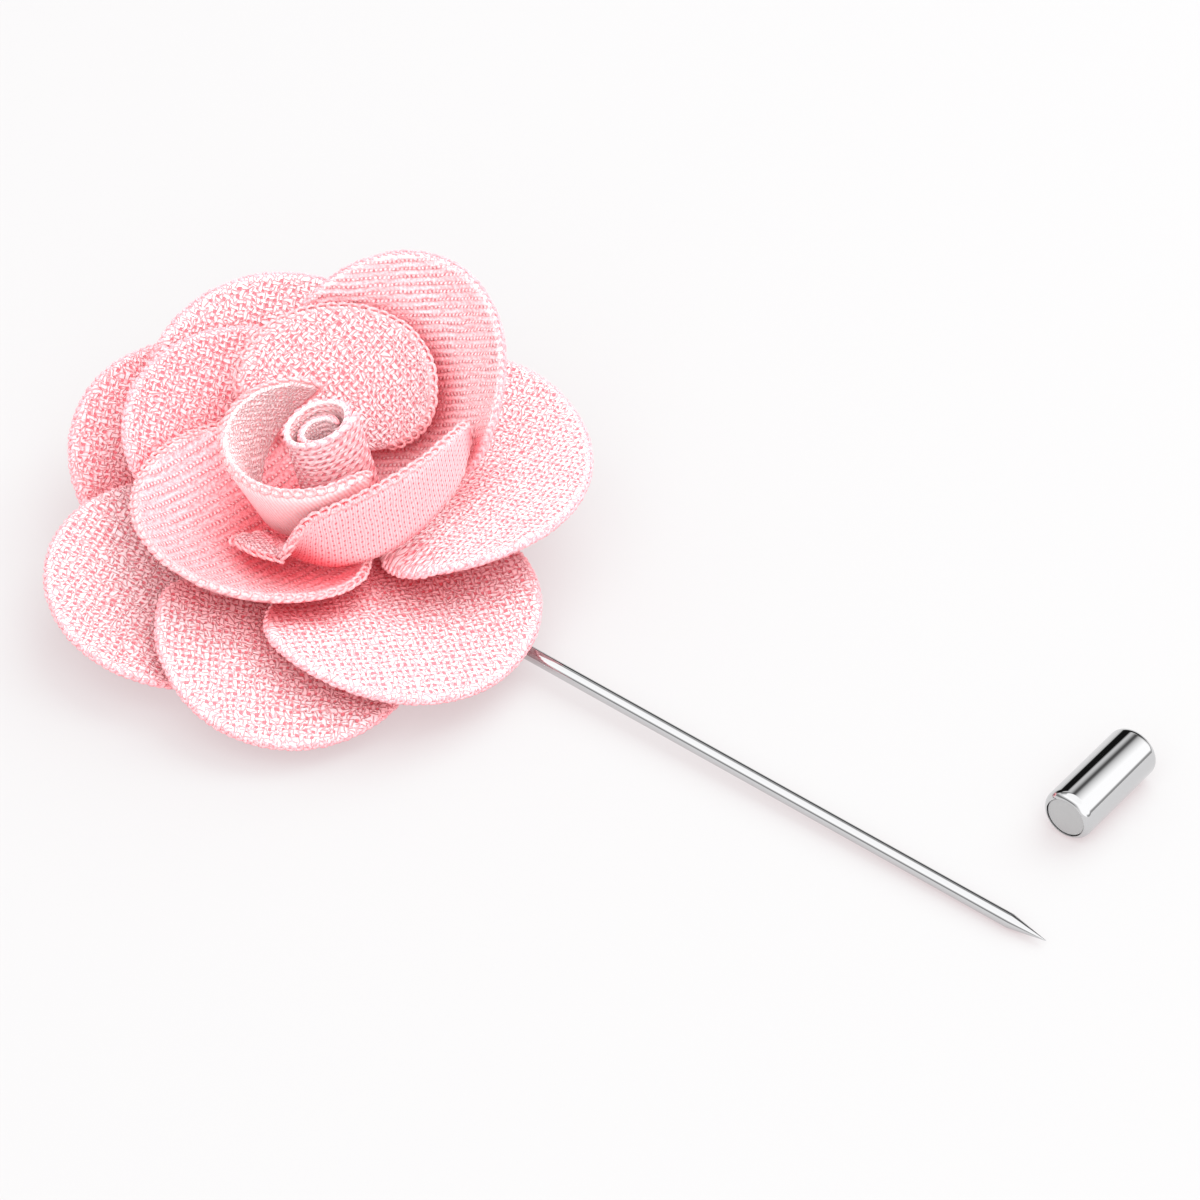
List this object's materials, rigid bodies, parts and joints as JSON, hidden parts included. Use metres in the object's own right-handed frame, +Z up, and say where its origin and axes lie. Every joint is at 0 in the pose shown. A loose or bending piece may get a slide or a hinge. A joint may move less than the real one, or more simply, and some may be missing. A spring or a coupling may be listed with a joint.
{
  "type": "flower lapel pin",
  "caption": "Stick pin with a flower of round cup-shaped cloth petals round a rolled bud, and a separate push-on cap that covers the point when the pin is worn.",
  "frame": {"origin": "centre of the pad's underside, on the surface that the pin lies on", "axes": "+Z up out of the surface, through the flower; +X along the needle, towards its point"},
  "size_m": [0.0925, 0.0444, 0.0224],
  "materials": {
    "chrome": "polished",
    "cap_chrome": "polished",
    "end_disc": "satin",
    "cloth": "ribbed knit with an overlocked edge"
  },
  "bodies": {
    "root": {"pin": "chrome", "cap": "cap_chrome", "cap_disc": "end_disc", "bud": "cloth", "outer_petal_1": "cloth", "outer_petal_2": "cloth", "outer_petal_3": "cloth", "outer_petal_4": "cloth", "outer_petal_5": "cloth", "middle_petal_1": "cloth", "middle_petal_2": "cloth", "middle_petal_3": "cloth", "middle_petal_4": "cloth", "inner_petal_1": "cloth", "inner_petal_2": "cloth", "inner_petal_3": "cloth"}
  },
  "joints": []
}
